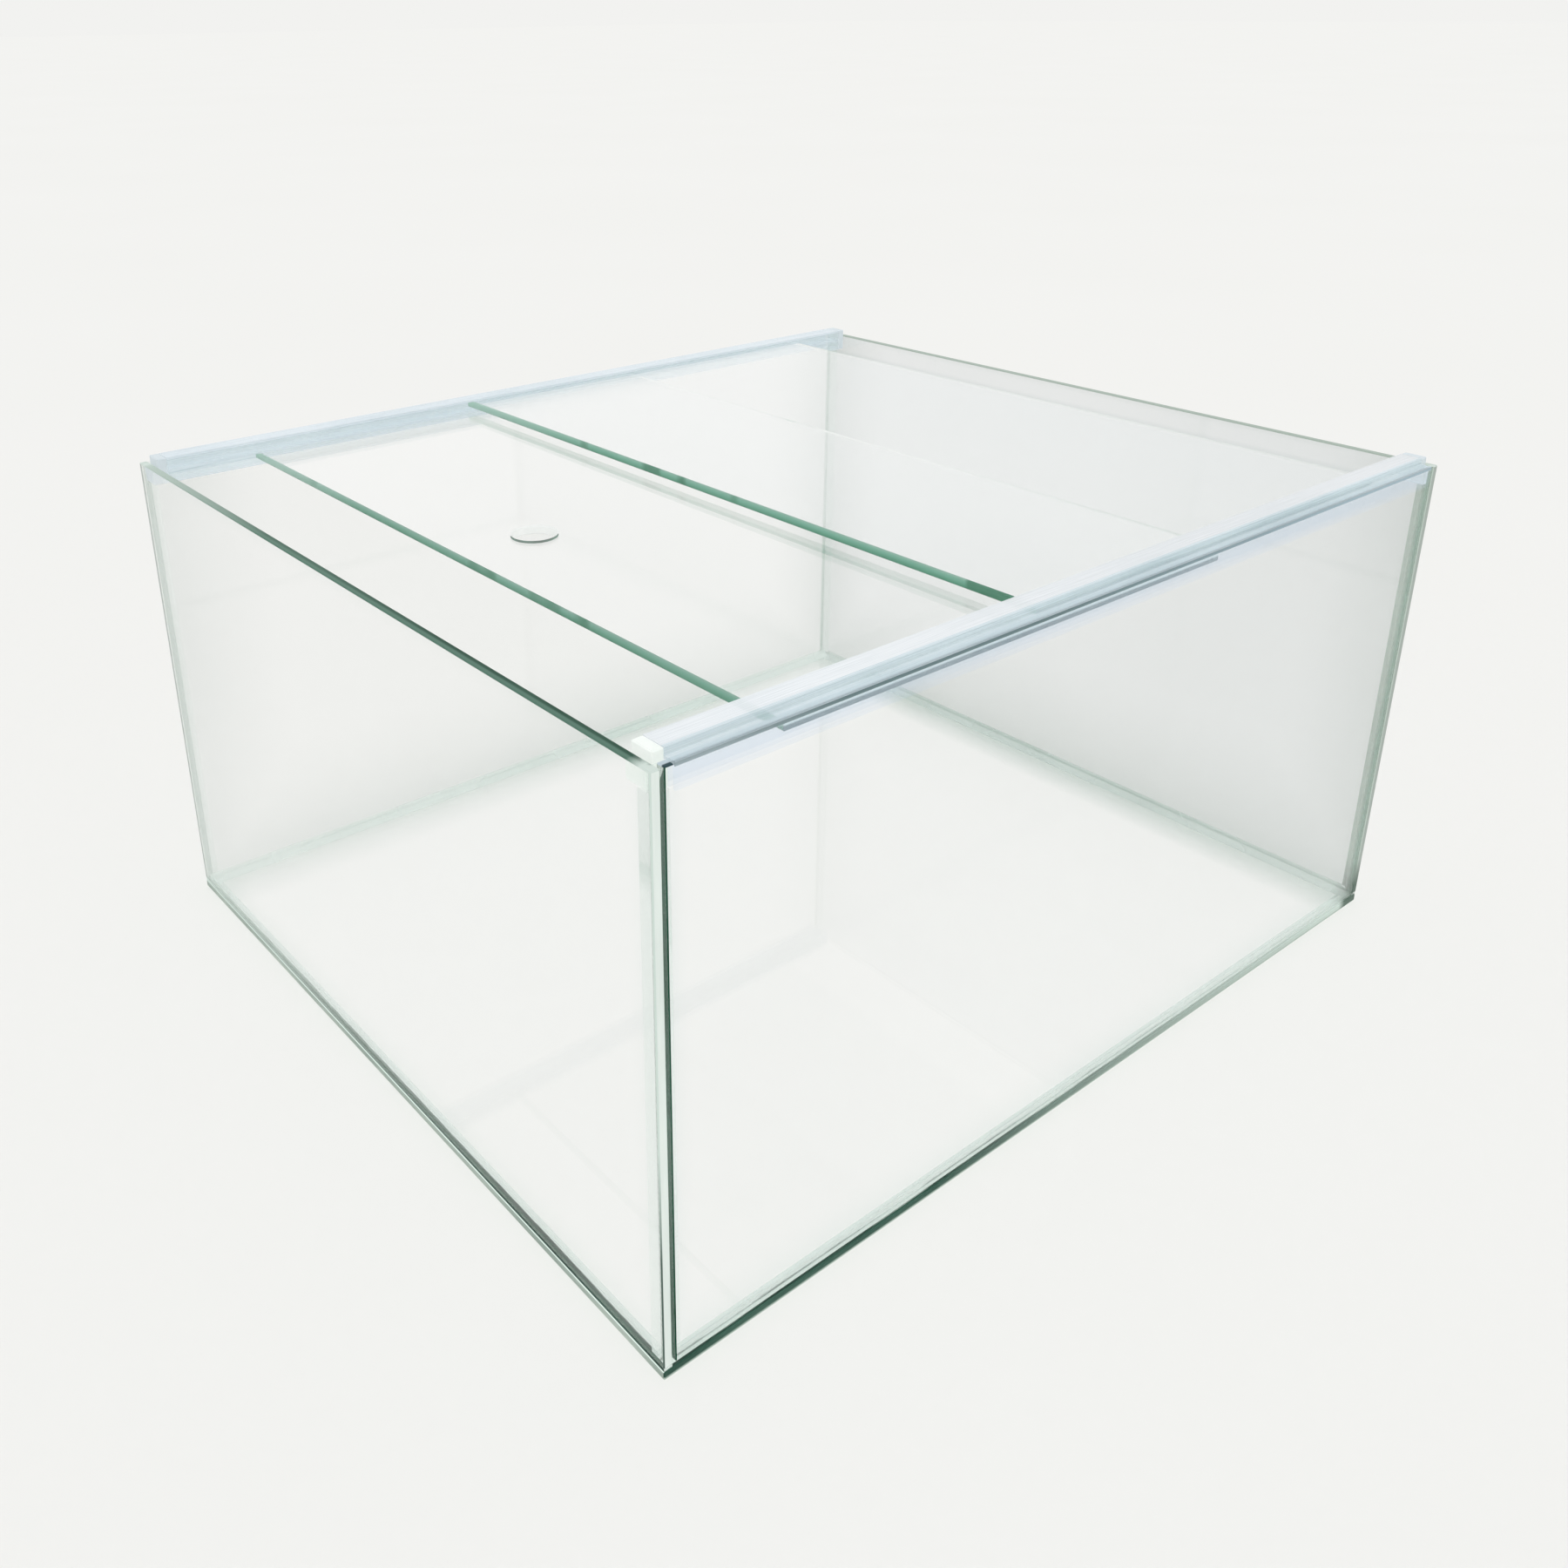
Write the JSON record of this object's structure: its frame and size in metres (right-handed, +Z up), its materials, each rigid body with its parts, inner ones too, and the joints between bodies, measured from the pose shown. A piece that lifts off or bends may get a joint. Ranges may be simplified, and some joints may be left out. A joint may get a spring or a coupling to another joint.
{
  "type": "glass hamster cage",
  "caption": "Open-top rectangular glass tank for a small pet, with clear two-track rails on its long walls and glass cover panes that slide in them.",
  "frame": {"origin": "centre of the footprint, at the underside of the base pane", "axes": "+Z is up; +X runs along the rails, the way the cover panes slide; +Y runs from the front long wall to the rear one"},
  "size_m": [0.6, 0.5278, 0.315],
  "materials": {
    "tank_glass": "clear float glass, green at the ground edges",
    "cover_glass": "clear float glass, green at the ground edges",
    "rail_plastic": "clear extruded plastic with a slight blue haze",
    "stop_plastic": "milky white",
    "silicone": "translucent, smooth"
  },
  "bodies": {
    "tank": {"base_pane": "tank_glass", "front_wall": "tank_glass", "rear_wall": "tank_glass", "left_end_wall": "tank_glass", "right_end_wall": "tank_glass", "front_rail": "rail_plastic", "rear_rail": "rail_plastic", "front_left_rail_stop": "stop_plastic", "front_right_rail_stop": "stop_plastic", "rear_left_rail_stop": "stop_plastic", "rear_right_rail_stop": "stop_plastic", "front_left_corner_seam": "silicone", "front_right_corner_seam": "silicone", "rear_left_corner_seam": "silicone", "rear_right_corner_seam": "silicone", "front_base_seam": "silicone", "rear_base_seam": "silicone", "left_base_seam": "silicone", "right_base_seam": "silicone"},
    "lower_cover": {"lower_cover_pane": "cover_glass"},
    "upper_cover": {"upper_cover_pane": "cover_glass"}
  },
  "joints": [
    {"name": "lower_cover_slide", "type": "slide", "parent": "tank", "child": "lower_cover", "axis": [1, 0, 0], "range_m": [-0.0608, 0.2118]},
    {"name": "upper_cover_slide", "type": "slide", "parent": "tank", "child": "upper_cover", "axis": [1, 0, 0], "range_m": [-0.2208, 0.0518]}
  ]
}
